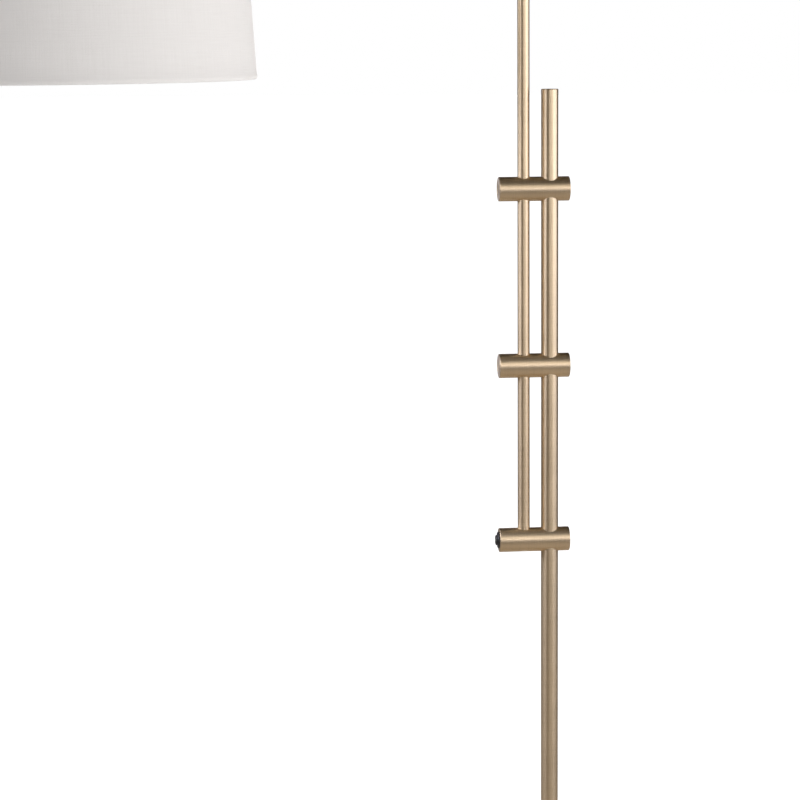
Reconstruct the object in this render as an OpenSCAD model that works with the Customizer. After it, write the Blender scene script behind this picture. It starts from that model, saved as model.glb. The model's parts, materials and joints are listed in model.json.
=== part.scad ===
// Arc floor lamp. A bent rod carries a drum shade and is held beside a pole by three
// cross-drilled barrels, which slide and swivel on the pole. The pole stands on a weighted
// round base. The origin is the centre of the base's underside; the arc reaches along -X.

/* [Pole] */
// Outer diameter of the pole
pole_d = 18; // [17:0.5:18.5]
// Wall thickness of the pole tubes
pole_wall = 1.5; // [1.2:0.1:2]
// Height of the pole's flat top
pole_top_z = 1503; // [1480:1:1560]
// Height of the flush joint between the pole's two sections
pole_joint_z = 735; // [500:5:735]

/* [Rod and arc] */
// Outer diameter of the arc rod
rod_d = 12.7; // [12.5:0.1:13]
// Wall thickness of the arc rod
rod_wall = 1.2; // [1:0.1:1.3]
// Distance from the pole's axis to the rod's axis
axis_gap = 27.5; // [26.5:0.5:29]
// Distance from the rod's axis to the shade's axis
reach = 522.5; // [500:0.5:600]
// Height at which the straight legs turn into the arc
arc_spring_z = 1830; // [1826:1:1900]
// Height of the flush joint between the straight rod and the arc
rod_joint_z = 1660; // [1620:5:1700]

/* [Barrels] */
// Outer diameter of a barrel
barrel_d = 25.4; // [25:0.1:27]
// Length of a barrel
barrel_l = 74; // [73:0.1:80]
// Length of barrel beyond the rod's axis, on the shade's side
barrel_overhang = 26.3; // [25:0.1:28]
// Spacing of the barrels along the pole
barrel_pitch = 184.5; // [120:0.5:200]
// Height of the top barrel's axis
top_barrel_z = 1400; // [1390:1:1410]

/* [Shade] */
// Outer radius of the shade's bottom rim
shade_r = 247.3; // [230:0.1:260]
// Height of the shade
shade_h = 280; // [260:1:290]
// Height of the shade's bottom rim
shade_bottom_z = 1516; // [1506:1:1526]
// Slope of the shade's wall from upright, in degrees
shade_taper = 3.9; // [0:0.1:8]

/* [Base] */
// Outer radius of the base
base_r = 165; // [150:1:180]
// Height of the base's rim above the floor
base_h = 22; // [20:1:26]

/* [Hidden] */
$fn = 96;

// Clearances: a fixed joint, a running fit, a free gap between moving pieces
fixed_gap = 0.05;
run_gap = 0.06;
free_gap = 0.3;
cut = 1;                  // how far a cutting tool runs past a face
bore_reach = 60;          // how far a turned piece's bore is cut each way from its own zero

barrel_z = [for (i = [0:2]) top_barrel_z - i * barrel_pitch];
lowest_z = barrel_z[2];
barrel_r = barrel_d / 2;
barrel_chamfer = 0.4;
barrel_left_x = -axis_gap - barrel_overhang;
barrel_right_x = barrel_left_x + barrel_l;

rod_x = -axis_gap;
rod_r = rod_d / 2;
rod_in_r = rod_r - rod_wall;
rod_end_depth = 8;        // how far the rod's foot goes below the lowest barrel's axis
cap_t = 1.6;              // thickness of the pole cap's visible rim
shade_x = rod_x - reach;
arc_r = reach / 2;

// Bushes: split sleeves seated in a groove inside each barrel
bush_in_r = pole_d / 2 + run_gap;
bush_r = bush_in_r + 1;
bush_l = 11;
bush_slot = 6;
groove_r = bush_r + run_gap;
groove_l = bush_l + 0.3;

// Drag screws and pads: they press each bush on the pole from the barrel's far end
drag_screw_d = 8;
drag_pad_l = 3;
drag_pad_d = drag_screw_d - 0.4;
drag_pad_x = bush_r + 0.1;
drag_screw_x = drag_pad_x + drag_pad_l;
drag_screw_recess = 1;
drag_key_d = 4;
rod_screw_d = 4;
rod_screw_recess = 0.7;
rod_key_d = 2;

// Cord gland in the lowest barrel's end
gland_bore_r = 5.3;
gland_r = gland_bore_r - fixed_gap;
gland_in = 14;
gland_flange_r = 8.75;
gland_flange_l = 1.6;
gland_hub_r = 5.4;
gland_hub_l = 2.1;
gland_hole_r = 3;
wire_r = 2.1;
wire_bend_r = 6;
wire_window_r = 4;

// Base
felt_h = 2;
felt_r = base_r - 6;
cover_wall = 1.2;
cover_edge_r = 5;
weight_r = base_r - cover_wall - 1.5;
weight_top = base_h - cover_wall;
stud_r = 5;
stud_inset = 1;           // how far the stud stops short at each end
nut_recess_r = 16;
nut_recess_h = 11;
washer_r = 14;
washer_h = 2;
nut_flats = 17;
nut_h = 8;
collar_r = 21;
collar_h = 13;
plug_l = 26;

// Shade: heights and wall
shade_top_z = shade_bottom_z + shade_h;
shade_top_r = shade_r - shade_h * tan(shade_taper);
fabric_t = 1;
liner_t = 0.8;
ring_wire_r = 1.5;
ring_inset = ring_wire_r + 0.3;
liner_margin = ring_inset + ring_wire_r;
spider_drop = 14;
spider_arm_r = 1.8;
hub_r = 17;
hub_t = 2;
hub_z = shade_top_z - spider_drop;

// Hanger and socket: heights counted down from the hub
nipple_r = 4;
nipple_in_r = 2.8;
cup_h = 25;
cup_r = 13.5;
cup_neck_r = 7.5;
cup_wall = 1.5;
plug_flange_h = 3;
plug_spigot_l = 12;
plug_flange_z = hub_z + cup_h;
arc_end_z = plug_flange_z + plug_flange_h;
spider_nut_h = 6;
spider_nut_r = 11;
socket_top_z = hub_z - hub_t - spider_nut_h;
socket_cap_h = 18;
socket_r = 16.5;
socket_wall = 0.8;
shell_top_z = socket_top_z - socket_cap_h;
shell_h = 42;
sleeve_t = 0.6;
sleeve_inset = 1;
sleeve_r = socket_r - socket_wall - fixed_gap;
block_r = sleeve_r - sleeve_t - fixed_gap;
block_h = 19;
block_top_z = shell_top_z - sleeve_inset;
thread_r = 14.2;
thread_t = 0.5;
thread_h = 21;
key_z = block_top_z - 9;
shaft_r = 1.6;
key_hole_r = shaft_r + 2;
shaft_in = 9;             // the shaft's two ends, as distances from the socket's axis
shaft_end = 30;
knob_start = socket_r + 3;
knob_l = 18;
knob_w = 13;
knob_t = 4.5;

// Bulb
bulb_r = 30;
bulb_cap_r = 13.2;
bulb_cap_h = 24;
bulb_neck_r = bulb_cap_r - 1;
bulb_eyelet_r = 5;
bulb_top_z = block_top_z - block_h - 3;
bulb_neck_z = bulb_top_z - bulb_cap_h;
bulb_centre_drop = 50;
bulb_wall = 0.8;
bulb_neck_l = 5;

brass = [0.74, 0.63, 0.46];
dark_steel = [0.35, 0.35, 0.36];
bright_steel = [0.75, 0.75, 0.76];
black = [0.05, 0.05, 0.05];
linen = [0.9, 0.88, 0.86];
white = [0.96, 0.96, 0.95];
nylon = [0.88, 0.86, 0.8];
fibre = [0.55, 0.42, 0.28];

// A tube standing on z = 0
module tube(outer_r, inner_r, length) {
    difference() {
        cylinder(r = outer_r, h = length);
        translate([0, 0, -cut]) cylinder(r = inner_r, h = length + 2 * cut);
    }
}

// A turned piece: an outline of radius and height, with a bore up its axis
module turned(outline, bore_r = 0) {
    difference() {
        rotate_extrude() polygon(outline);
        if (bore_r > 0) translate([0, 0, -bore_reach]) cylinder(r = bore_r, h = 2 * bore_reach);
    }
}

// Places children on a barrel's end-to-end axis at x, pointing along +X
module along_x(x) {
    translate([x, 0, 0]) rotate([0, 90, 0]) children();
}

// Points of a quarter or other round of an outline
function arc_points(cx, cy, r, from, to, steps = 8) =
    [for (i = [0:steps]) let (a = from + (to - from) * i / steps) [cx + r * cos(a), cy + r * sin(a)]];

// ---- Base ----

module base_felt() {
    color(black) cylinder(r = felt_r, h = felt_h);
}

module base_weight() {
    height = weight_top - felt_h;
    color(dark_steel) translate([0, 0, felt_h]) difference() {
        turned([[0, 0], [weight_r, 0], [weight_r, height - cover_edge_r],
                [weight_r - cover_edge_r, height], [0, height]]);
        translate([0, 0, -cut]) cylinder(r = nut_recess_r, h = nut_recess_h + cut);
        cylinder(r = stud_r + fixed_gap, h = base_h);
    }
}

module base_cover() {
    inner_r = base_r - cover_wall;
    color(brass) turned(concat(
        [[0, base_h], [0, weight_top], [inner_r - cover_edge_r, weight_top]],
        arc_points(inner_r - cover_edge_r, weight_top - cover_edge_r, cover_edge_r, 90, 0),
        [[inner_r, felt_h], [base_r, felt_h]],
        arc_points(base_r - cover_edge_r, base_h - cover_edge_r, cover_edge_r, 0, 90)),
        stud_r + fixed_gap);
}

module base_stud() {
    color(bright_steel) translate([0, 0, felt_h + stud_inset])
        cylinder(r = stud_r, h = base_h + plug_l - felt_h - 2 * stud_inset);
}

module base_washer() {
    color(bright_steel) translate([0, 0, felt_h + nut_recess_h - washer_h])
        tube(washer_r, stud_r + fixed_gap, washer_h);
}

module base_nut() {
    color(bright_steel) translate([0, 0, felt_h + nut_recess_h - washer_h - nut_h]) difference() {
        cylinder(d = nut_flats / cos(30), h = nut_h, $fn = 6);
        translate([0, 0, -cut]) cylinder(r = stud_r + fixed_gap, h = nut_h + 2 * cut);
    }
}

module foot_collar() {
    rim_h = 3;
    rim_round = 2;
    step_r = collar_r - 6;
    step_round = 1.5;
    flare = 1;
    color(brass) translate([0, 0, base_h]) turned(concat(
        [[0, 0], [collar_r, 0]],
        arc_points(collar_r - rim_round, rim_h, rim_round, 0, 90),
        [[step_r + flare, rim_h + rim_round]],
        arc_points(step_r - step_round, collar_h - step_round, step_round, 0, 90),
        [[0, collar_h]]), pole_d / 2 + fixed_gap);
}

module foot_plug() {
    color(bright_steel) translate([0, 0, base_h])
        tube(pole_d / 2 - pole_wall - fixed_gap, stud_r + fixed_gap, plug_l);
}

// ---- Pole ----

module lower_pole() {
    color(brass) translate([0, 0, base_h])
        tube(pole_d / 2, pole_d / 2 - pole_wall, pole_joint_z - base_h);
}

module pole_joiner() {
    joiner_l = 60;
    color(bright_steel) translate([0, 0, pole_joint_z - joiner_l / 2])
        cylinder(r = pole_d / 2 - pole_wall - fixed_gap, h = joiner_l);
}

module upper_pole() {
    color(brass) translate([0, 0, pole_joint_z])
        tube(pole_d / 2, pole_d / 2 - pole_wall, pole_top_z - cap_t - pole_joint_z);
}

module pole_cap() {
    spigot_l = 9;
    rim = 0.5;
    pole_r = pole_d / 2;
    spigot_r = pole_r - pole_wall - fixed_gap;
    color(brass) translate([0, 0, pole_top_z]) turned(
        [[0, 0], [pole_r - rim, 0], [pole_r, -rim], [pole_r, -cap_t], [spigot_r, -cap_t],
         [spigot_r, -cap_t - spigot_l], [0, -cap_t - spigot_l]]);
}

// ---- Bushes ----

module bush(z) {
    color(nylon) translate([0, 0, z - bush_l / 2]) difference() {
        tube(bush_r, bush_in_r, bush_l);
        translate([-bush_slot / 2, 0, -cut]) cube([bush_slot, pole_d, bush_l + 2 * cut]);
    }
}

module top_bush() { bush(barrel_z[0]); }
module middle_bush() { bush(barrel_z[1]); }
module lowest_bush() { bush(barrel_z[2]); }

// ---- Barrels ----

module barrel_blank() {
    r = barrel_r;
    c = barrel_chamfer;
    along_x(barrel_left_x) rotate_extrude() polygon(
        [[0, 0], [r - c, 0], [r, c], [r, barrel_l - c], [r - c, barrel_l], [0, barrel_l]]);
}

// The bore for the pole, the bush's groove, and the tapped hole for the drag screw
module pole_side_cuts() {
    translate([0, 0, -barrel_r - cut]) cylinder(r = pole_d / 2 + free_gap, h = barrel_d + 2 * cut);
    translate([0, 0, -groove_l / 2]) cylinder(r = groove_r, h = groove_l);
    along_x(pole_d / 2) cylinder(r = drag_screw_d / 2 + fixed_gap, h = barrel_l);
}

// The bore for the rod, from a given depth below the barrel's axis, and its set screw's hole
module rod_side_cuts(depth) {
    translate([rod_x, 0, -depth]) cylinder(r = rod_r + fixed_gap, h = depth + barrel_r + cut);
    translate([rod_x, 0, 0]) rotate([-90, 0, 0])
        cylinder(r = rod_screw_d / 2 + fixed_gap, h = barrel_d);
}

module through_barrel(z) {
    color(brass) translate([0, 0, z]) difference() {
        barrel_blank();
        pole_side_cuts();
        rod_side_cuts(barrel_r + cut);
    }
}

module top_barrel() { through_barrel(barrel_z[0]); }
module middle_barrel() { through_barrel(barrel_z[1]); }

module lowest_barrel() {
    color(brass) translate([0, 0, lowest_z]) difference() {
        barrel_blank();
        pole_side_cuts();
        rod_side_cuts(rod_end_depth);
        along_x(barrel_left_x - cut) cylinder(r = gland_bore_r, h = barrel_overhang - wire_window_r);
    }
}

// A headless screw with a hex key socket in its outer end, lying along +Z
module grub_screw(d, length, key_d) {
    difference() {
        cylinder(d = d, h = length);
        translate([0, 0, length / 2]) cylinder(d = key_d, h = length, $fn = 6);
    }
}

module drag_screws() {
    length = barrel_right_x - drag_screw_recess - drag_screw_x;
    color(dark_steel) for (z = barrel_z) translate([0, 0, z])
        along_x(drag_screw_x) grub_screw(drag_screw_d, length, drag_key_d);
}

module drag_pads() {
    color(nylon) for (z = barrel_z) translate([0, 0, z])
        along_x(drag_pad_x) cylinder(d = drag_pad_d, h = drag_pad_l);
}

module rod_screws() {
    length = barrel_r - rod_screw_recess - rod_r - fixed_gap;
    color(dark_steel) for (z = barrel_z) translate([rod_x, rod_r + fixed_gap, z])
        rotate([-90, 0, 0]) grub_screw(rod_screw_d, length, rod_key_d);
}

module cord_gland() {
    bevel = 0.6;
    flange_end = gland_in + gland_flange_l;
    hub_end = flange_end + gland_hub_l;
    color(black) translate([barrel_left_x + gland_in, 0, lowest_z]) rotate([0, -90, 0]) turned(
        [[0, 0], [gland_r, 0], [gland_r, gland_in], [gland_flange_r, gland_in],
         [gland_flange_r, flange_end - bevel], [gland_flange_r - bevel, flange_end],
         [gland_hub_r + bevel, flange_end], [gland_hub_r, flange_end + bevel],
         [gland_hub_r, hub_end - bevel], [gland_hub_r - bevel, hub_end], [0, hub_end]],
        gland_hole_r);
}

// ---- Rod, arc and wire ----

module straight_rod() {
    foot_z = lowest_z - rod_end_depth;
    color(brass) difference() {
        translate([rod_x, 0, foot_z]) tube(rod_r, rod_in_r, rod_joint_z - foot_z);
        translate([0, 0, lowest_z]) along_x(rod_x - rod_d) cylinder(r = wire_window_r, h = rod_d);
    }
}

module rod_joiner() {
    joiner_l = 50;
    joiner_wall = 1.5;
    joiner_r = rod_in_r - fixed_gap;
    color(bright_steel) translate([rod_x, 0, rod_joint_z - joiner_l / 2])
        tube(joiner_r, joiner_r - joiner_wall, joiner_l);
}

// Half a turn about a level axis at the springing height, from the rod to the shade's axis
module over_arc() {
    translate([rod_x - arc_r, 0, arc_spring_z]) rotate([90, 0, 0])
        rotate_extrude(angle = 180) translate([arc_r, 0]) children();
}

module arc_tube() {
    color(brass) union() {
        translate([rod_x, 0, rod_joint_z]) tube(rod_r, rod_in_r, arc_spring_z - rod_joint_z);
        over_arc() difference() {
            circle(r = rod_r);
            circle(r = rod_in_r);
        }
        translate([shade_x, 0, arc_end_z]) tube(rod_r, rod_in_r, arc_spring_z - arc_end_z);
    }
}

module lamp_wire() {
    inset = 0.3;
    inside_gland = barrel_left_x - gland_flange_l - gland_hub_l + inset;
    bend_x = rod_x - wire_bend_r;
    color(white) union() {
        translate([0, 0, lowest_z]) along_x(inside_gland) cylinder(r = wire_r, h = bend_x - inside_gland);
        translate([bend_x, 0, lowest_z + wire_bend_r]) rotate([90, 0, 0]) rotate([0, 0, -90])
            rotate_extrude(angle = 90) translate([wire_bend_r, 0]) circle(r = wire_r);
        translate([rod_x, 0, lowest_z + wire_bend_r])
            cylinder(r = wire_r, h = arc_spring_z - lowest_z - wire_bend_r);
        over_arc() circle(r = wire_r);
        translate([shade_x, 0, block_top_z]) cylinder(r = wire_r, h = arc_spring_z - block_top_z);
    }
}

// ---- Hanger ----

module arc_end_plug() {
    color(brass) translate([shade_x, 0, plug_flange_z]) turned(
        [[0, 0], [rod_r, 0], [rod_r, plug_flange_h], [rod_in_r - fixed_gap, plug_flange_h],
         [rod_in_r - fixed_gap, plug_flange_h + plug_spigot_l], [0, plug_flange_h + plug_spigot_l]],
        nipple_r + fixed_gap);
}

module hanger_nipple() {
    bottom_z = socket_top_z - socket_cap_h / 2;
    top_z = arc_end_z + plug_spigot_l * 3 / 4;
    color(brass) translate([shade_x, 0, bottom_z]) tube(nipple_r, nipple_in_r, top_z - bottom_z);
}

module shade_cup() {
    sweep = cup_r - cup_neck_r;
    neck_h = 4;
    recess_h = 4;
    color(brass) translate([shade_x, 0, hub_z]) difference() {
        turned(concat([[0, cup_h], [cup_neck_r, cup_h]],
            arc_points(cup_r, cup_h - neck_h, sweep, 180, 270),
            [[cup_r, 0], [0, 0]]), nipple_r + fixed_gap);
        translate([0, 0, -cut]) cylinder(r = cup_r - cup_wall, h = recess_h + cut);
    }
}

module shade_spider() {
    arm_end = shade_top_r - fabric_t - 2 * ring_wire_r;
    arm_start = hub_r - 3;
    rise = spider_drop - ring_inset + hub_t / 2;
    run = arm_end - arm_start;
    color(white) translate([shade_x, 0, 0]) {
        translate([0, 0, hub_z - hub_t]) tube(hub_r, nipple_r + fixed_gap, hub_t);
        for (a = [90, 210, 330]) rotate([0, 0, a])
            translate([arm_start, 0, hub_z - hub_t / 2]) rotate([0, atan2(run, rise), 0])
                cylinder(r = spider_arm_r, h = norm([run, rise]));
    }
}

module spider_nut() {
    flute_r = 1;
    flute_x = spider_nut_r + flute_r / 2;
    color(brass) translate([shade_x, 0, socket_top_z]) difference() {
        cylinder(r = spider_nut_r, h = spider_nut_h);
        translate([0, 0, -cut]) cylinder(r = nipple_r + fixed_gap, h = spider_nut_h + 2 * cut);
        for (a = [0:15:345]) rotate([0, 0, a]) translate([flute_x, 0, -cut])
            cylinder(r = flute_r, h = spider_nut_h + 2 * cut);
    }
}

// ---- Shade ----

// Outer radius of the shade's wall at a height above its bottom rim
function wall_r(h) = shade_r - h * tan(shade_taper);

// A wall of the shade from one height to another, inset from the outer face
module shade_wall(low, high, inset, thickness) {
    translate([shade_x, 0, shade_bottom_z]) rotate_extrude() polygon(
        [[wall_r(low) - inset - thickness, low], [wall_r(low) - inset, low],
         [wall_r(high) - inset, high], [wall_r(high) - inset - thickness, high]]);
}

module shade_ring(h) {
    translate([shade_x, 0, shade_bottom_z + h]) rotate_extrude()
        translate([wall_r(h) - fabric_t - ring_wire_r - 0.1, 0]) circle(r = ring_wire_r, $fn = 32);
}

module shade_top_ring() { color(white) shade_ring(shade_h - ring_inset); }
module shade_bottom_ring() { color(white) shade_ring(ring_inset); }
module shade_fabric() { color(linen) shade_wall(0, shade_h, 0, fabric_t); }

module shade_liner() {
    color(white) shade_wall(liner_margin, shade_h - liner_margin, fabric_t, liner_t);
}

// ---- Socket ----

module socket_cap() {
    neck_r = 7;
    rim_h = 4;
    roof = 2;
    shoulder = socket_r - neck_r;
    inner = socket_r - socket_wall;
    color(brass) translate([shade_x, 0, shell_top_z]) difference() {
        turned(concat([[0, 0], [socket_r, 0]],
            arc_points(neck_r, rim_h, shoulder, 0, 90),
            [[neck_r, socket_cap_h], [0, socket_cap_h]]), nipple_r + fixed_gap);
        translate([0, 0, -cut]) cylinder(r = inner, h = rim_h + cut);
        translate([0, 0, rim_h]) cylinder(r1 = inner, r2 = neck_r, h = shoulder - roof);
    }
}

// The hole through the socket's walls for the switch's shaft, leaving towards -Y
module key_hole() {
    translate([shade_x, 0, key_z]) rotate([90, 0, 0]) cylinder(r = key_hole_r, h = socket_r + cut);
}

module socket_shell() {
    color(brass) difference() {
        translate([shade_x, 0, shell_top_z - shell_h])
            tube(socket_r, socket_r - socket_wall, shell_h);
        key_hole();
    }
}

module socket_sleeve() {
    color(fibre) difference() {
        translate([shade_x, 0, shell_top_z - shell_h + sleeve_inset])
            tube(sleeve_r, sleeve_r - sleeve_t, shell_h - 2 * sleeve_inset);
        key_hole();
    }
}

module socket_block() {
    color(black) difference() {
        translate([shade_x, 0, block_top_z - block_h]) cylinder(r = block_r, h = block_h);
        translate([shade_x, -shaft_in + free_gap, key_z]) rotate([90, 0, 0])
            cylinder(r = shaft_r + run_gap, h = block_r);
    }
}

module socket_thread() {
    top_z = block_top_z - block_h;
    color(brass) translate([shade_x, 0, top_z - thread_h]) tube(thread_r, thread_r - thread_t, thread_h);
}

module socket_contact() {
    strip_l = 12;
    strip_w = 6;
    strip_t = 1;
    strip_past_axis = 3;
    color(brass) translate([shade_x, 0, block_top_z - block_h - strip_t])
        translate([strip_past_axis - strip_l, -strip_w / 2, 0]) cube([strip_l, strip_w, strip_t]);
}

module switch_shaft() {
    color(brass) translate([shade_x, -shaft_in, key_z]) rotate([90, 0, 0])
        cylinder(r = shaft_r, h = shaft_end - shaft_in);
}

module switch_knob() {
    boss_r = 4;
    boss_h = 6;
    web_start = 4;
    paddle_z = knob_l - knob_w / 2;
    color(black) translate([shade_x, -knob_start, key_z]) rotate([90, 0, 0]) difference() {
        union() {
            cylinder(r = boss_r, h = boss_h);
            translate([0, knob_t / 2, paddle_z]) rotate([90, 0, 0]) cylinder(d = knob_w, h = knob_t);
            translate([-boss_r, -knob_t / 2, web_start]) cube([2 * boss_r, knob_t, paddle_z - web_start]);
        }
        translate([0, 0, -cut]) cylinder(r = shaft_r + fixed_gap, h = shaft_end - knob_start + 2 * cut);
    }
}

// ---- Bulb ----

// Outline of the glass, from the bottom of the globe up to the neck, shrunk by a wall
function bulb_outline(wall) =
    let (join = 35, steps = 10, centre = -bulb_centre_drop, r = bulb_r - wall,
         join_r = r * cos(join), join_z = centre + r * sin(join), neck = bulb_neck_r - wall)
    concat(arc_points(0, centre, r, -90, join, 20),
        [for (i = [1:steps]) let (t = i / steps)
            [neck + (join_r - neck) * (1 - t) * (1 - t), join_z + (-bulb_neck_l - join_z) * t]],
        [[neck, wall > 0 ? cut : 0]]);

module bulb_glass() {
    color([1, 1, 1, 0.6]) translate([shade_x, 0, bulb_neck_z]) difference() {
        rotate_extrude() polygon(concat([[0, 0]], bulb_outline(0)));
        rotate_extrude() polygon(concat([[0, cut]], bulb_outline(bulb_wall)));
    }
}

module bulb_cap() {
    ridges = 4;
    ridge_pitch = 3.6;
    ridge_h = 0.4;
    ridge_r = bulb_cap_r - 0.5;
    skirt_r = bulb_neck_r + 2 * fixed_gap;
    skirt_drop = 4;
    bead_h = 3;
    seat_z = 2 * fixed_gap;
    inner_r = bulb_cap_r - 1.8;
    crown_r = bulb_cap_r - 2;
    crown_h = 5;
    metal = 1;
    color(bright_steel) translate([shade_x, 0, bulb_neck_z]) turned(concat(
        [[skirt_r, -skirt_drop], [bulb_cap_r, -skirt_drop], [bulb_cap_r, bead_h]],
        [for (i = [1:ridges], step = [0:5])
            [ridge_r - ridge_h * cos(step * 60), ridge_pitch * (i + step / 6)]],
        [[crown_r, bulb_cap_h - crown_h], [bulb_eyelet_r, bulb_cap_h - metal],
         [bulb_eyelet_r, bulb_cap_h - 2 * metal], [crown_r - metal, bulb_cap_h - crown_h - metal],
         [inner_r, seat_z], [skirt_r, seat_z]]));
}

module bulb_tip() {
    tip_r = bulb_eyelet_r - 2 * fixed_gap;
    inside = 2;
    outside = 1.8;
    color(brass) translate([shade_x, 0, bulb_neck_z + bulb_cap_h - inside])
        cylinder(r = tip_r, h = inside + outside);
}

base_felt();
base_weight();
base_cover();
base_stud();
base_washer();
base_nut();
foot_collar();
foot_plug();
lower_pole();
pole_joiner();
upper_pole();
pole_cap();
top_bush();
middle_bush();
lowest_bush();
top_barrel();
middle_barrel();
lowest_barrel();
drag_screws();
drag_pads();
rod_screws();
cord_gland();
straight_rod();
rod_joiner();
arc_tube();
lamp_wire();
arc_end_plug();
hanger_nipple();
shade_cup();
shade_spider();
spider_nut();
shade_top_ring();
shade_bottom_ring();
shade_fabric();
shade_liner();
socket_cap();
socket_shell();
socket_sleeve();
socket_block();
socket_thread();
socket_contact();
switch_shaft();
switch_knob();
bulb_glass();
bulb_cap();
bulb_tip();
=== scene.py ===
import json
import math

import bpy
from mathutils import Matrix, Vector


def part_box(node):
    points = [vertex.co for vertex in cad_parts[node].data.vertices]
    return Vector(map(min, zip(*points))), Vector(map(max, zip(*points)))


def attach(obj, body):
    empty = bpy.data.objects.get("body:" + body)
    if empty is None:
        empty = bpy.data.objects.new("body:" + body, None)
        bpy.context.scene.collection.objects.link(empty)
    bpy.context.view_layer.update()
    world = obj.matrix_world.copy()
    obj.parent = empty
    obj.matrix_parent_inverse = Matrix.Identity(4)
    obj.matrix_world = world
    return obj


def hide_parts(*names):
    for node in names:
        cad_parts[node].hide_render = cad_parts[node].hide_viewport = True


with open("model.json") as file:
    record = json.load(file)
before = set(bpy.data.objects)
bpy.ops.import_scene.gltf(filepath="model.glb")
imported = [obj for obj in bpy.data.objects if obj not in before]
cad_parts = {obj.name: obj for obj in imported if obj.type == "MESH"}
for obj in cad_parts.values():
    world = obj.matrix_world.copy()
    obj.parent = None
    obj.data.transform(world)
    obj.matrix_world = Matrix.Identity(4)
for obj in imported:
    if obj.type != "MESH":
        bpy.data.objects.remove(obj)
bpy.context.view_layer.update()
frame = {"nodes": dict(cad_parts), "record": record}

# ---- Places taken from the frame ----


def centre(node):
    low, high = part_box(node)
    return (low + high) / 2


def half_width(node):
    """Half of a node's size from left to right: the radius of an upright tube."""
    low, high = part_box(node)
    return (high.x - low.x) / 2


POLE = centre("upper_pole")
POLE_R = half_width("upper_pole")
ROD = centre("straight_rod")
ROD_R = half_width("straight_rod")
TOP_BARREL = centre("top_barrel")
SHADE_LOW, SHADE_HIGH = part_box("shade_fabric")
RING_GAP = 0.0012                  # from the top ring's outside to the cloth's outside
SHADE_TOP_R = half_width("shade_top_ring") + RING_GAP

# ---- Camera: a standing eye level, looking slightly down, with a long lens ----

VIEW_YAW = math.radians(6.43)      # the lamp's arm is turned this far towards the camera
VIEW_PITCH = math.radians(7.42)
VIEW_ROLL = math.radians(-0.36)
VIEW_DISTANCE = 3.015              # level distance from the pole, along the view
VIEW_OFFSET = 0.1568               # the pole stands this far right of the view's middle
EYE_ABOVE_BARREL = 0.1722
SENSOR = 36                        # in millimetres, and so is the lens
LENS = 130.5
SIGHT = 100                        # the camera sees this far, past the floor's edge


def make_camera():
    """The photo's view: its lower part of the shade, and the barrels on the pole."""
    forward = Vector((math.sin(VIEW_YAW), math.cos(VIEW_YAW), 0))
    right = Vector((math.cos(VIEW_YAW), -math.sin(VIEW_YAW), 0))
    place = Vector((0, 0, TOP_BARREL.z + EYE_ABOVE_BARREL))
    place -= forward * VIEW_DISTANCE + right * VIEW_OFFSET
    data = bpy.data.cameras.new("camera")
    data.sensor_width = SENSOR
    data.lens = LENS
    data.clip_end = SIGHT
    camera = bpy.data.objects.new("camera", data)
    bpy.context.scene.collection.objects.link(camera)
    camera.matrix_world = (
        Matrix.Translation(place)
        @ Matrix.Rotation(-VIEW_YAW, 4, "Z")
        @ Matrix.Rotation(math.pi / 2 - VIEW_PITCH, 4, "X")
        @ Matrix.Rotation(VIEW_ROLL, 4, "Z")
    )
    bpy.context.scene.camera = camera


# ---- Material helper ----

MIX_FIRST = 6                      # a Mix node's colour sockets, by their place in its lists
MIX_SECOND = 7
MIX_RESULT = 2
NOISE_LOW = 0.3                    # most of a noise lies between these two values
NOISE_HIGH = 0.7


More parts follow.
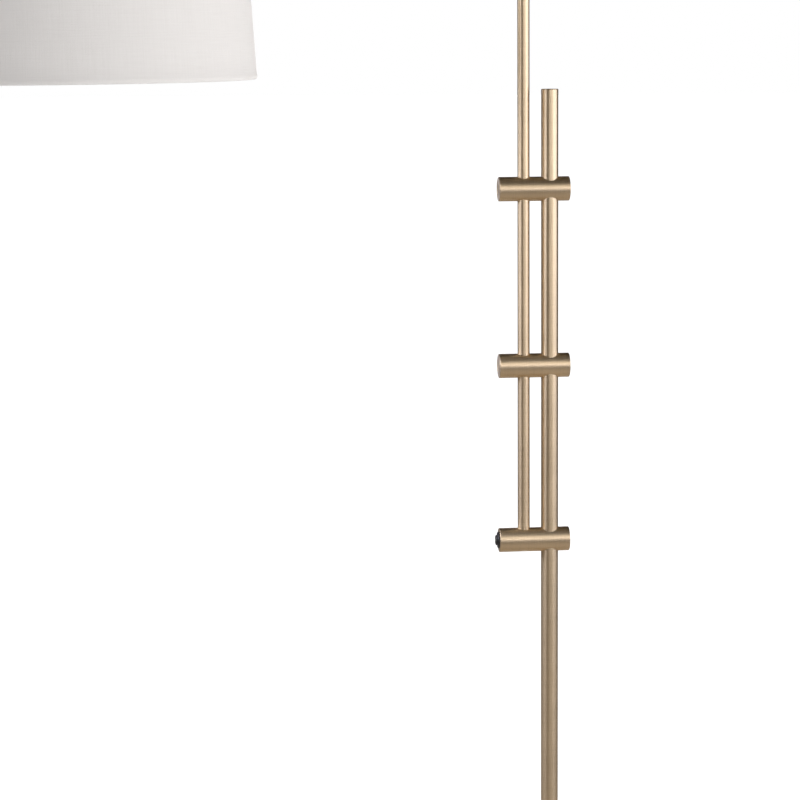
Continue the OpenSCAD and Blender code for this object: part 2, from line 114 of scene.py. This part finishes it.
class Paint:
    """A node material, with short ways to add nodes to it."""

    def __init__(self, name, **settings):
        self.material = bpy.data.materials.new(name)
        self.material.use_nodes = True
        self.nodes = self.material.node_tree.nodes
        self.links = self.material.node_tree.links
        self.shader = self.nodes["Principled BSDF"]
        for socket, value in settings.items():
            self.shader.inputs[socket.replace("_", " ")].default_value = value

    def plug(self, value, socket):
        """Links an output to a socket, or sets the socket to a plain value."""
        if isinstance(value, bpy.types.NodeSocket):
            self.links.new(value, socket)
        else:
            socket.default_value = value

    def wear(self, value, socket):
        """Gives the shader's own socket a value that changes over the surface."""
        self.plug(value, self.shader.inputs[socket])

    def coordinates(self, kind="Object"):
        return self.nodes.new("ShaderNodeTexCoord").outputs[kind]

    def maths(self, operation, a, b=0.0):
        node = self.nodes.new("ShaderNodeMath")
        node.operation = operation
        self.plug(a, node.inputs[0])
        self.plug(b, node.inputs[1])
        return node.outputs["Value"]

    def split(self, vector):
        node = self.nodes.new("ShaderNodeSeparateXYZ")
        self.links.new(vector, node.inputs["Vector"])
        return node.outputs

    def join(self, x=0.0, y=0.0, z=0.0):
        node = self.nodes.new("ShaderNodeCombineXYZ")
        for value, socket in zip((x, y, z), node.inputs):
            self.plug(value, socket)
        return node.outputs["Vector"]

    def stretch(self, vector, scale):
        node = self.nodes.new("ShaderNodeMapping")
        node.inputs["Scale"].default_value = scale
        self.links.new(vector, node.inputs["Vector"])
        return node.outputs["Vector"]

    def noise(self, vector, scale, detail):
        node = self.nodes.new("ShaderNodeTexNoise")
        node.inputs["Scale"].default_value = scale
        node.inputs["Detail"].default_value = detail
        self.links.new(vector, node.inputs["Vector"])
        return node.outputs["Fac"]

    def remap(self, value, from_low, from_high, to_low, to_high):
        node = self.nodes.new("ShaderNodeMapRange")
        node.inputs["From Min"].default_value = from_low
        node.inputs["From Max"].default_value = from_high
        node.inputs["To Min"].default_value = to_low
        node.inputs["To Max"].default_value = to_high
        self.links.new(value, node.inputs["Value"])
        return node.outputs["Result"]

    def ramp(self, value, stops):
        node = self.nodes.new("ShaderNodeValToRGB")
        while len(node.color_ramp.elements) < len(stops):
            node.color_ramp.elements.new(0.5)
        for element, (at, colour) in zip(node.color_ramp.elements, stops):
            element.position = at
            element.color = (*colour, 1)
        self.links.new(value, node.inputs["Fac"])
        return node.outputs["Color"]

    def between(self, noise, low, high):
        """A number that a noise takes from low to high."""
        return self.remap(noise, NOISE_LOW, NOISE_HIGH, low, high)

    def two_tone(self, noise, dark, light):
        """A colour that a noise takes from dark to light."""
        return self.ramp(noise, [(NOISE_LOW, dark), (NOISE_HIGH, light)])

    def mix(self, share, first, second, blend="MIX"):
        node = self.nodes.new("ShaderNodeMix")
        node.data_type = "RGBA"
        node.blend_type = blend
        self.plug(share, node.inputs["Factor"])
        self.plug(first, node.inputs[MIX_FIRST])
        self.plug(second, node.inputs[MIX_SECOND])
        return node.outputs[MIX_RESULT]

    def bump(self, height, distance, strength=1.0):
        """Raises the surface by a height, times a distance in metres."""
        node = self.nodes.new("ShaderNodeBump")
        node.inputs["Strength"].default_value = strength
        node.inputs["Distance"].default_value = distance
        self.links.new(height, node.inputs["Height"])
        self.wear(node.outputs["Normal"], "Normal")


def shades(colour, spread):
    """A darker and a lighter version of a colour."""
    return tuple(c * (1 - spread) for c in colour), tuple(min(1, c * (1 + spread)) for c in colour)


# ---- Brass ----

BRASS = (0.80, 0.64, 0.43)
BRASS_ROUGH = 0.37
BRASS_SPREAD = 0.6                 # how far the brushing lines stretch a reflection
QUARTER_TURN = 0.25                # from the tangent to the way that they stretch it
BRASS_POLISHED_HIGHLIGHT = (0.98, 0.90, 0.74)  # painted highlight round the bore edges, where handling has also polished the brass
POLISHED = 0.7                     # and the share of the roughness that is left there
STREAK = (0.86, 0.85, 0.83)        # how far a brushing line darkens it
STREAK_RANGE = (0.25, 0.6)         # from its deepest, in the lines' noise, to where it ends
LINE_RANGE = (0.2, 0.8)            # the lines' noise, from smooth to rough
LINE_ROUGH = (-0.05, 0.06)         # and what that adds to the roughness
TARNISH = 0.05
TARNISH_SCALE = 22
BRUSH_DEPTH = 0.00001
BRUSH_BUMP = 0.5
WANDER = 0.02                      # how far the lines change round the piece
SCRATCHES = 4200                   # brushing lines, in noise steps per metre
EDGE = 0.0011                      # width of the polished edge round a bore, which also gets a painted highlight


def brass_finish(paint, lines, tone, roughness, polish_and_highlight=None):
    """Brushed brass under clear lacquer: fine lines, faint tarnish, and, where given, polished edges with a
    painted highlight.
    """
    place = paint.coordinates()
    fine = paint.noise(lines, SCRATCHES, 4)
    tarnish = paint.noise(place, TARNISH_SCALE, 3)
    dark, light = shades(tuple(c * tone for c in BRASS), TARNISH)
    colour = paint.two_tone(tarnish, dark, light)
    deepest, edge = STREAK_RANGE
    streaks = paint.ramp(fine, [(deepest, STREAK), (edge, (1, 1, 1))])
    colour = paint.mix(1, colour, streaks, "MULTIPLY")
    smooth, coarse = LINE_ROUGH
    rough = paint.remap(fine, *LINE_RANGE, roughness + smooth, roughness + coarse)
    # Painted highlight: round the bore edges a paler, whiter brass is mixed in, and the roughness is
    # lowered for the polish.
    if polish_and_highlight is not None:
        colour = paint.mix(polish_and_highlight, colour, (*BRASS_POLISHED_HIGHLIGHT, 1))
        rough = paint.maths("MULTIPLY", rough, paint.remap(polish_and_highlight, 0, 1, 1, POLISHED))
    paint.wear(colour, "Base Color")
    paint.wear(rough, "Roughness")
    paint.bump(fine, BRUSH_DEPTH, BRUSH_BUMP)
    return paint.material


def turned_brass(name, axis, width, tone=1.0, roughness=BRASS_ROUGH, spread=BRASS_SPREAD, bores=()):
    """Brass turned on a lathe about an axis through the piece's middle, width across.

    Bores are upright holes as (x, radius), whose edges are polished by handling and painted with a
    highlight."""
    paint = Paint(name, Metallic=1.0, Anisotropic=spread, Anisotropic_Rotation=QUARTER_TURN)
    tangent = paint.nodes.new("ShaderNodeTangent")
    tangent.direction_type = "RADIAL"
    tangent.axis = axis
    paint.wear(tangent.outputs["Tangent"], "Tangent")
    place = paint.split(paint.coordinates())
    across = [letter for letter in "XYZ" if letter != axis]
    inside = paint.split(paint.coordinates("Generated"))
    offsets = [paint.maths("SUBTRACT", inside[letter], 0.5) for letter in across]
    squares = [paint.maths("MULTIPLY", offset, offset) for offset in offsets]
    radius = paint.maths("MULTIPLY", paint.maths("SQRT", paint.maths("ADD", *squares)), width)
    drift = paint.maths("MULTIPLY", paint.maths("ADD", place[across[0]], place[across[1]]), WANDER)
    lines = paint.join(place[axis], radius, drift)
    polish_and_highlight = None
    # The bore edges' mask, for the polish and the painted highlight.
    for x, bore_r in bores:
        from_axis = paint.maths("SUBTRACT", place["X"], x)
        square_x = paint.maths("MULTIPLY", from_axis, from_axis)
        square_y = paint.maths("MULTIPLY", place["Y"], place["Y"])
        away = paint.maths("SQRT", paint.maths("ADD", square_x, square_y))
        edge = paint.remap(away, bore_r, bore_r + EDGE, 1, 0)
        polish_and_highlight = edge if polish_and_highlight is None else paint.maths("MAXIMUM", polish_and_highlight, edge)
    return brass_finish(paint, lines, tone, roughness, polish_and_highlight)


def bent_brass(name, node):
    """Brass brushed round a tube that goes up, over in half a circle, and down again."""
    low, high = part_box(node)
    arc_outer_r = (high.x - low.x) / 2
    arc_x = (high.x + low.x) / 2
    arc_z = high.z - arc_outer_r
    paint = Paint(name, Metallic=1.0, Anisotropic=BRASS_SPREAD)
    place = paint.split(paint.coordinates())
    beside = paint.maths("SUBTRACT", place["X"], arc_x)
    above = paint.maths("SUBTRACT", place["Z"], arc_z)
    over = paint.maths("MAXIMUM", above, 0.0)
    paint.wear(paint.join(paint.maths("MULTIPLY", over, -1.0), 0.0, beside), "Tangent")
    turn = paint.maths("MULTIPLY", paint.maths("ARCTAN2", over, beside), arc_outer_r)
    length = paint.maths("ADD", turn, paint.maths("MINIMUM", above, 0.0))
    lines = paint.join(length, paint.maths("MULTIPLY", place["Y"], WANDER))
    return brass_finish(paint, lines, 1.0, BRASS_ROUGH)


# ---- Other materials ----

SKIN_DEPTH = 0.00003               # how uneven plated metal and smooth plastic are
METAL_GRAIN = 900                  # scales of noise are in steps per metre
METAL_SPOTS = 0.12
IRON_GRAIN = 380
IRON_DEPTH = 0.0006
IRON_LOW = (0.018, 0.018, 0.019)
IRON_HIGH = (0.05, 0.048, 0.046)
FIBRE_BENDS = ((240, 2), (900, 3), (2600, 3))      # noises that bend the felt's fibres: scale, detail
FIBRE_SCALE = 9                    # of the fibres, in the space that those noises bend
FELT_DEPTH = 0.0005
FELT_SPOTS = 0.35
PLASTIC_CLOUD = 60                 # scale of the slow change in its colour
FROST_GRAIN = 1400
FROST_LOW = (0.90, 0.89, 0.86)
FROST_HIGH = (0.96, 0.95, 0.93)


def plain_metal(name, colour, roughness, depth=SKIN_DEPTH):
    """Plated or raw metal with small spots and a fine uneven surface."""
    paint = Paint(name, Metallic=1.0)
    place = paint.coordinates()
    spots = paint.noise(place, METAL_GRAIN, 4)
    paint.wear(paint.two_tone(spots, *shades(colour, METAL_SPOTS)), "Base Color")
    paint.wear(paint.between(spots, roughness - 0.06, roughness + 0.10), "Roughness")
    paint.bump(spots, depth)
    return paint.material


def cast_iron(name):
    """Primed cast iron: a rough sand skin with shallow pits."""
    paint = Paint(name, Metallic=0.0)
    place = paint.coordinates()
    skin = paint.noise(place, IRON_GRAIN, 6)
    paint.wear(paint.ramp(skin, [(0.35, IRON_LOW), (0.7, IRON_HIGH)]), "Base Color")
    paint.wear(paint.between(skin, 0.55, 0.8), "Roughness")
    paint.bump(skin, IRON_DEPTH)
    return paint.material


def felt(name, colour):
    """Pressed felt: a mat of short fibres."""
    paint = Paint(name, Roughness=0.95, Sheen_Weight=0.5, Sheen_Roughness=0.5)
    place = paint.coordinates()
    bends = [paint.noise(place, scale, detail) for scale, detail in FIBRE_BENDS]
    fibres = paint.noise(paint.join(*bends), FIBRE_SCALE, 4)
    paint.wear(paint.two_tone(fibres, *shades(colour, FELT_SPOTS)), "Base Color")
    paint.bump(fibres, FELT_DEPTH)
    return paint.material


def plastic(name, colour, roughness, grain=1600, depth=SKIN_DEPTH, spread=0.06, **settings):
    """Moulded plastic with a fine texture from the mould."""
    paint = Paint(name, **settings)
    place = paint.coordinates()
    texture = paint.noise(place, grain, 3)
    cloud = paint.noise(place, PLASTIC_CLOUD, 2)
    paint.wear(paint.two_tone(cloud, *shades(colour, spread)), "Base Color")
    paint.wear(paint.between(texture, roughness - 0.05, roughness + 0.07), "Roughness")
    paint.bump(texture, depth)
    return paint.material


def powder_coat(name, colour):
    """White powder coat with its orange-peel skin."""
    return plastic(name, colour, 0.42, grain=520, depth=0.00008, spread=0.03)


THREAD = 0.00075                   # pitch of the linen's threads
SLUB_SCALE = 700                   # thick and thin places of a thread, in noise steps per metre across it
SLUB_STRETCH = 0.035               # and how much slower they change along it
SWAY = 1.3                         # how far a slub pushes its thread aside, as an angle of the weave
LINEN = (0.75, 0.722, 0.704)
LINEN_DARK = (0.732, 0.704, 0.685)
LINEN_LIGHT = (0.765, 0.738, 0.72)
LINEN_GAP_SHADE = (0.645, 0.617, 0.594)  # painted shade between the threads
GAP_EDGE = 0.35                    # where the gaps end, on the way up a thread
GAP_SHADE_SHARE = 0.35                   # and how much of that painted shade shows at the deepest
SLUB_RANGE = (0.7, 1.3)            # from the thinnest to the thickest threads, in the sum of both slubs
CROSSING = 0.6                     # height of a crossing, where a slub's is 1
WEAVE_DEPTH = 0.00014
WEAVE_BUMP = 0.9


def linen(name):
    """Plain-woven linen: crossing threads with slubs and painted shade between them, over a UV map in
    metres round and up.
    """
    paint = Paint(name, Roughness=0.92, Sheen_Weight=0.12, Sheen_Roughness=0.5, Specular_IOR_Level=0.25)
    weave = paint.nodes.new("ShaderNodeUVMap").outputs["UV"]
    warp_slubs = paint.noise(paint.stretch(weave, (1.0, SLUB_STRETCH, 1.0)), SLUB_SCALE, 3)
    weft_slubs = paint.noise(paint.stretch(weave, (SLUB_STRETCH, 1.0, 1.0)), SLUB_SCALE, 3)
    at = paint.split(weave)
    step = 2 * math.pi / THREAD
    warp_sway = paint.maths("MULTIPLY", warp_slubs, SWAY)
    weft_sway = paint.maths("MULTIPLY", weft_slubs, SWAY)
    warp = paint.maths("ADD", paint.maths("MULTIPLY", at["X"], step), warp_sway)
    weft = paint.maths("ADD", paint.maths("MULTIPLY", at["Y"], step), weft_sway)
    crossing = paint.maths("MULTIPLY", paint.maths("SINE", warp), paint.maths("SINE", weft))
    threads = paint.remap(crossing, -1, 1, 0, 1)
    slubs = paint.maths("ADD", warp_slubs, weft_slubs)
    height = paint.maths("ADD", paint.maths("MULTIPLY", threads, CROSSING), slubs)
    thickness = paint.remap(slubs, *SLUB_RANGE, 0, 1)
    tint = paint.ramp(thickness, [(0.0, LINEN_DARK), (0.5, LINEN), (1.0, LINEN_LIGHT)])
    # Painted shade: the colour darkens towards the gaps between the threads.
    gap_shade = paint.remap(threads, 0.0, GAP_EDGE, GAP_SHADE_SHARE, 0.0)
    paint.wear(paint.mix(gap_shade, tint, (*LINEN_GAP_SHADE, 1)), "Base Color")
    paint.bump(height, WEAVE_DEPTH, WEAVE_BUMP)
    return paint.material


def frosted_glass(name):
    """Bulb glass with a white coating inside."""
    paint = Paint(name, IOR=1.45, Transmission_Weight=0.55, Coat_Weight=0.6, Coat_Roughness=0.06)
    frost = paint.noise(paint.coordinates(), FROST_GRAIN, 3)
    paint.wear(paint.two_tone(frost, FROST_LOW, FROST_HIGH), "Base Color")
    paint.wear(paint.between(frost, 0.42, 0.58), "Roughness")
    return paint.material


def make_materials():
    """The material of each slot in the record."""
    barrel_low, barrel_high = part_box("top_barrel")
    barrel_d = barrel_high.y - barrel_low.y
    base_d = 2 * half_width("base_cover")
    bores = ((POLE.x, POLE_R), (ROD.x, ROD_R))
    return {
        "brass_pole": turned_brass("brass_pole", "Z", 2 * POLE_R),
        "brass_rod": turned_brass("brass_rod", "Z", 2 * ROD_R),
        "brass_barrel": turned_brass("brass_barrel", "X", barrel_d, 0.97, 0.47, bores=bores),
        "brass_fitting": turned_brass("brass_fitting", "Z", base_d, 0.93, 0.46, 0.8),
        "steel_zinc": plain_metal("steel_zinc", (0.62, 0.63, 0.65), 0.32),
        "steel_black": plain_metal("steel_black", (0.05, 0.05, 0.055), 0.42, depth=0.00002),
        "iron": cast_iron("iron"),
        "felt": felt("felt", (0.035, 0.035, 0.037)),
        "acetal": plastic("acetal", (0.80, 0.78, 0.72), 0.40),
        "gland_black": plastic("gland_black", (0.022, 0.022, 0.023), 0.38, grain=2600, depth=0.00005),
        "wire_clear": plastic("wire_clear", (0.62, 0.66, 0.58), 0.30, Transmission_Weight=0.15),
        "ring_white": powder_coat("ring_white", (0.84, 0.84, 0.82)),
        "liner_white": plastic("liner_white", (0.88, 0.87, 0.845), 0.55, 700, 0.00004, 0.02),
        "fibre": plastic("fibre", (0.26, 0.165, 0.085), 0.75, grain=1200, depth=0.00006, spread=0.2),
        "phenolic": plastic("phenolic", (0.02, 0.018, 0.016), 0.22, spread=0.2),
        "contact_brass": plain_metal("contact_brass", (0.83, 0.66, 0.38), 0.30),
        "knob_black": plastic("knob_black", (0.018, 0.018, 0.018), 0.16, 400, 0.00001, 0.15),
        "bulb_glass": frosted_glass("bulb_glass"),
        "bulb_cap": plain_metal("bulb_cap", (0.78, 0.78, 0.79), 0.28),
        "linen": linen("linen"),
    }


def dress_nodes(materials):
    """Gives every CAD node its slot's material, and the arc its own brass, whose lines follow the bend."""
    slots = {entry["node"]: entry["material_slot"] for entry in frame["record"]["subparts"]}
    arc_brass = bent_brass("bent_brass", "arc_tube")
    for node, thing in frame["nodes"].items():
        material = arc_brass if node == "arc_tube" else materials[slots[node]]
        for place in thing.material_slots:
            place.material = material


# ---- Linen shade ----

CLOTH = 0.0005                     # thickness of the cloth
HEM = 0.0046                       # height of the turned hem seen outside
HEM_STEP = 0.00025                 # the hem stands this far proud of the wall
HEM_LIP = 0.0001                   # and its edge is rounded this far in,
HEM_SOFT = 0.0004                  # from this far above it to this far below
HEM_ZONE = 0.001                   # the hem's unevenness shows up to this far above its edge
HEM_EDGE = 0.0006                  # and down to this far below
ROLL_R = 0.0024                    # the hem's roll round the wire ring, across
ROLL_DROP = 0.0020                 # and up and down
ROLL_STEPS = 8
FLAP = 0.0095                      # height that the turned-in edge reaches inside
FLAP_END = 0.0021                  # how far inside the outer face the flap ends, on the liner
FLAP_FOOT = 0.0012                 # the flap leaves the roll this far above its middle
FLAP_BEND = (0.0039, 0.0062)       # inset and height where the flap meets the liner
FLAP_SHRINK = (0.7, 0.5)           # its other face bends this much of the cloth further out, and lower
SEAM_ANGLE = math.radians(80)      # the glued overlap is at the back
SEAM_W = 0.012
SEAM_SOFT = 0.0006                 # half the angle over which the overlap's step rises
SEAM_CLEAR = 0.004                 # the mesh's even columns stay this angle away from that step
WALL_ROWS = 14
COLUMNS = 360
HEM_WAVES = ((5, 0.3), (11, 1.9), (23, 4.1))       # hand-made unevenness: waves round, and their phase
HEM_WAVE_SIZE = 0.00035
WALL_WAVES = ((3, 0.8), (7, 2.6), (10, 5.0))
WALL_WAVE_SIZE = 0.00018
WALL_TWIST = 3                     # the wall's waves lean over, in radians per metre of height
SHADE_X = (SHADE_LOW.x + SHADE_HIGH.x) / 2
SHADE_H = SHADE_HIGH.z - SHADE_LOW.z
SHADE_R = (SHADE_HIGH.x - SHADE_LOW.x) / 2
TAPER = (SHADE_R - SHADE_TOP_R) / SHADE_H
SEAM_HALF = SEAM_W / 2 / SHADE_R   # half the overlap, as an angle
SHARP = math.radians(50)           # folds above this angle stay crisp


def hem_profile():
    """The hem's outline as (inset from the outer face, height): down its outside, round under the ring, up
    inside to the turned-in edge, and back along the cloth's other face."""
    outer = [(HEM_STEP, HEM + HEM_SOFT), (HEM_LIP, HEM), (0, HEM - HEM_SOFT), (0, ROLL_DROP * 2)]

    def roll(shrink):
        turns = [math.pi * i / ROLL_STEPS for i in range(ROLL_STEPS + 1)]
        across = ROLL_R - shrink
        down = ROLL_DROP - shrink
        return [(ROLL_R - across * math.cos(turn), ROLL_DROP - down * math.sin(turn)) for turn in turns]

    def flap(shrink):
        inset, height = FLAP_BEND
        back, down = FLAP_SHRINK
        foot = (2 * ROLL_R - shrink, ROLL_DROP + FLAP_FOOT)
        return [foot, (inset - shrink * back, height - shrink * down)]

    tip = [(FLAP_END + CLOTH, FLAP), (FLAP_END, FLAP)]
    return outer + roll(0) + flap(0) + tip + flap(CLOTH)[::-1] + roll(CLOTH)[::-1]


def shade_outline():
    """The cloth's closed outline as (inset from the outer face, height above the shade's bottom)."""
    bottom = hem_profile()
    top = [(inset, SHADE_H - height) for inset, height in bottom][::-1]
    rows = [HEM + (SHADE_H - 2 * HEM) * i / WALL_ROWS for i in range(1, WALL_ROWS)]
    inner_wall = [(HEM_STEP + CLOTH, height) for height in rows]
    outer_wall = [(HEM_STEP, height) for height in rows[::-1]]
    return bottom + inner_wall + top + outer_wall


def shade_angles():
    """Even steps round the shade, with two close columns at each edge of the overlap."""
    steps = [2 * math.pi * i / COLUMNS for i in range(COLUMNS)]
    edges = [SEAM_ANGLE - SEAM_HALF, SEAM_ANGLE + SEAM_HALF]
    lap = [edge + nudge for edge in edges for nudge in (-SEAM_SOFT, SEAM_SOFT)]
    return sorted([a for a in steps if min(abs(a - edge) for edge in lap) > SEAM_CLEAR] + lap)


def ripple(angle, waves, size):
    """A small hand-made unevenness round the shade."""
    return size * sum(math.sin(count * angle + phase) for count, phase in waves) / len(waves)


def shade_point(angle, inset, height):
    """Where a point of the outline lies at an angle round the shade."""
    from_rim = min(height, SHADE_H - height)
    at_hem = from_rim < HEM + HEM_ZONE
    radius = SHADE_R - TAPER * height - inset
    if inset <= HEM_STEP and abs(angle - SEAM_ANGLE) < SEAM_HALF:
        radius += HEM_STEP
    if not at_hem:
        radius += ripple(angle + WALL_TWIST * height, WALL_WAVES, WALL_WAVE_SIZE)
    elif from_rim > HEM - HEM_EDGE:
        lift = ripple(angle, HEM_WAVES, HEM_WAVE_SIZE)
        height += lift if height < SHADE_H / 2 else -lift
    return SHADE_X + radius * math.cos(angle), radius * math.sin(angle), SHADE_LOW.z + height


def map_weave(mesh, outline, angles):
    """A UV map in metres, round the shade and along the outline."""
    layer = mesh.uv_layers.new(name="weave")
    along = [0.0]
    for first, second in zip(outline, outline[1:] + outline[:1]):
        along.append(along[-1] + math.dist(first, second))
    around = [angle * SHADE_R for angle in angles + [angles[0] + 2 * math.pi]]
    corner = 0
    for here, there in zip(around, around[1:]):
        for low, high in zip(along, along[1:]):
            for place in ((here, low), (here, high), (there, high), (there, low)):
                layer.data[corner].uv = place
                corner += 1


def shade_mesh():
    outline = shade_outline()
    angles = shade_angles()
    vertices = [shade_point(angle, inset, height) for angle in angles for inset, height in outline]
    count = len(outline)
    faces = []
    for i in range(len(angles)):
        here = i * count
        there = (i + 1) % len(angles) * count
        for j in range(count):
            after = (j + 1) % count
            faces.append((here + j, here + after, there + after, there + j))
    mesh = bpy.data.meshes.new("linen_shade")
    mesh.from_pydata(vertices, [], faces)
    map_weave(mesh, outline, angles)
    mesh.shade_smooth()
    mesh.set_sharp_from_angle(angle=SHARP)
    return mesh


def make_shade(material):
    """The linen cover: one closed sheet, rolled round both wire rings and lapped at the back."""
    mesh = shade_mesh()
    mesh.materials.append(material)
    shade = bpy.data.objects.new("linen_shade", mesh)
    bpy.context.scene.collection.objects.link(shade)
    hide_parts("shade_fabric")
    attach(shade, "arm")


# ---- Stage and lights ----

STAGE_R = 60
STAGE_STEPS = 96
PALE = (0.9, 0.9, 0.9, 1)
WHITE = (1, 1, 1, 1)
AMBIENT = 0.31                     # even light from all round, on the shade and the floor
ROOM_WARM = (1.0, 0.86, 0.68)      # tint of the dim room that the metal reflects
ROOM_LEVEL = 0.10                  # its brightness at the horizon
CEILING_LEVEL = 0.03               # and overhead
ROOM_TOP = 0.2                     # how far up a direction points where the fall between them starts
CEILING = 0.65                     # and where it ends
POOL_WARM = (1.0, 0.89, 0.80)      # tint of the lit floor round the lamp, in the metal
POOL_LEVEL = 0.45
POOL = (1.0, 4.5)                  # it fades to the room's level between these distances
FLOOR_GLOW = 0.25                  # light that the floor gives off, on the shade
GLOW_NEAR = 0.36                   # extra light that only the eye sees from it, round the lamp
GLOW_FAR = 0.62                    # and far away
GLOW = (1.0, 2.6)                  # it rises between these distances


def make_floor():
    """A wide white floor. The eye sees it brighter, and the metal dimmer, than it lights the shade."""
    mesh = bpy.data.meshes.new("floor")
    turns = [2 * math.pi * i / STAGE_STEPS for i in range(STAGE_STEPS)]
    rim = [(STAGE_R * math.cos(turn), STAGE_R * math.sin(turn), 0) for turn in turns]
    mesh.from_pydata(rim, [], [range(STAGE_STEPS)])
    floor = bpy.data.objects.new("floor", mesh)
    bpy.context.scene.collection.objects.link(floor)
    paint = Paint("pale_floor", Base_Color=PALE, Roughness=1.0, Emission_Color=WHITE, Specular_IOR_Level=0)
    path = paint.nodes.new("ShaderNodeLightPath")
    away = paint.nodes.new("ShaderNodeVectorMath")
    away.operation = "LENGTH"
    paint.links.new(paint.coordinates(), away.inputs[0])
    distance = away.outputs["Value"]
    seen = paint.remap(distance, *GLOW, GLOW_NEAR, GLOW_FAR)
    extra = paint.maths("MULTIPLY", path.outputs["Is Camera Ray"], seen)
    paint.wear(paint.maths("ADD", extra, FLOOR_GLOW), "Emission Strength")
    dim = paint.nodes.new("ShaderNodeEmission")
    dim.inputs["Color"].default_value = (*POOL_WARM, 1)
    paint.links.new(paint.remap(distance, *POOL, POOL_LEVEL, ROOM_LEVEL), dim.inputs["Strength"])
    mix = paint.nodes.new("ShaderNodeMixShader")
    paint.links.new(path.outputs["Is Glossy Ray"], mix.inputs["Fac"])
    paint.links.new(paint.shader.outputs["BSDF"], mix.inputs[1])
    paint.links.new(dim.outputs["Emission"], mix.inputs[2])
    paint.links.new(mix.outputs["Shader"], paint.nodes["Material Output"].inputs["Surface"])
    mesh.materials.append(paint.material)


def make_world():
    """White behind the lamp, even light on it, and a dim warm room for what the metal reflects."""
    world = bpy.data.worlds.new("studio")
    bpy.context.scene.world = world
    world.use_nodes = True
    nodes, links = world.node_tree.nodes, world.node_tree.links
    even = nodes["Background"]
    even.inputs["Color"].default_value = WHITE
    even.inputs["Strength"].default_value = AMBIENT
    white = nodes.new("ShaderNodeBackground")
    white.inputs["Color"].default_value = WHITE
    room = nodes.new("ShaderNodeBackground")
    direction = nodes.new("ShaderNodeSeparateXYZ")
    links.new(nodes.new("ShaderNodeTexCoord").outputs["Generated"], direction.inputs["Vector"])
    level = nodes.new("ShaderNodeMapRange")
    level.inputs["From Min"].default_value = ROOM_TOP
    level.inputs["From Max"].default_value = CEILING
    level.inputs["To Min"].default_value = ROOM_LEVEL
    level.inputs["To Max"].default_value = CEILING_LEVEL
    links.new(direction.outputs["Z"], level.inputs["Value"])
    room.inputs["Color"].default_value = (*ROOM_WARM, 1)
    links.new(level.outputs["Result"], room.inputs["Strength"])
    path = nodes.new("ShaderNodeLightPath")
    for_gloss = nodes.new("ShaderNodeMixShader")
    links.new(path.outputs["Is Glossy Ray"], for_gloss.inputs["Fac"])
    links.new(even.outputs["Background"], for_gloss.inputs[1])
    links.new(room.outputs["Background"], for_gloss.inputs[2])
    for_eye = nodes.new("ShaderNodeMixShader")
    links.new(path.outputs["Is Camera Ray"], for_eye.inputs["Fac"])
    links.new(for_gloss.outputs["Shader"], for_eye.inputs[1])
    links.new(white.outputs["Background"], for_eye.inputs[2])
    links.new(for_eye.outputs["Shader"], nodes["World Output"].inputs["Surface"])


def soft_light(name, bearing, distance, size, heights, level, colour=(1, 1, 1), gloss=True):
    """A soft light from one height to another that faces the lamp, at a bearing in degrees from the camera.

    Level is its own brightness. With gloss it shows in the metal only, and without on the rest only."""
    towards_camera = math.atan2(-math.cos(VIEW_YAW), -math.sin(VIEW_YAW))
    angle = towards_camera + math.radians(bearing)
    height = sum(heights) / 2
    tall = heights[1] - heights[0]
    place = Vector((math.cos(angle) * distance, math.sin(angle) * distance, height))
    data = bpy.data.lights.new(name, "AREA")
    data.shape = "RECTANGLE"
    data.size = size
    data.size_y = tall
    data.energy = level * math.pi * size * tall
    data.color = colour
    light = bpy.data.objects.new(name, data)
    bpy.context.scene.collection.objects.link(light)
    light.location = place
    light.rotation_euler = (Vector((0, 0, height)) - place).to_track_quat("-Z", "Y").to_euler()
    light.visible_camera = False
    light.visible_glossy = gloss
    light.visible_diffuse = not gloss
    light.visible_transmission = not gloss


COOL = (0.90, 0.93, 1.13)          # tints of the lights that the metal reflects
MILD = (1.0, 0.95, 0.87)


def make_lights():
    """What the metal reflects, on both sides, in front and behind, and two plain lights for the rest."""
    soft_light("right_core", 76, 2.2, 2.4, (1.0, 2.2), 1.9, COOL)
    soft_light("right_fill", 33, 2.4, 1.2, (1.1, 2.4), 0.2, MILD)
    soft_light("right_box", 72, 2.3, 3.2, (1.1, 3.5), 0.45, MILD)
    soft_light("left_core", -83, 2.2, 2.9, (1.45, 2.4), 4.3, COOL)
    soft_light("left_box", -70, 2.3, 2.6, (1.2, 3.5), 0.4, MILD)
    soft_light("front_strip", 26, 3.0, 4.2, (1.5, 1.8), 3.2, COOL)
    soft_light("front_halo", 24, 3.05, 4.4, (1.3, 2.1), 0.7, MILD)
    soft_light("front_glow", 22, 3.1, 4.2, (2.1, 3.4), 1.1, MILD)
    soft_light("back_wall", -171, 3.0, 1.1, (0.6, 2.0), 2.0, COOL)
    soft_light("key_light", 69, 8.0, 5.4, (0.2, 5.0), 6.0, gloss=False)
    soft_light("rear_light", -135, 4.5, 3.0, (0.8, 3.6), 4.5, gloss=False)


bpy.context.scene.view_settings.view_transform = "Standard"
make_camera()
make_floor()
make_world()
make_lights()
MATERIALS = make_materials()
dress_nodes(MATERIALS)
make_shade(MATERIALS["linen"])

bpy.context.view_layer.update()
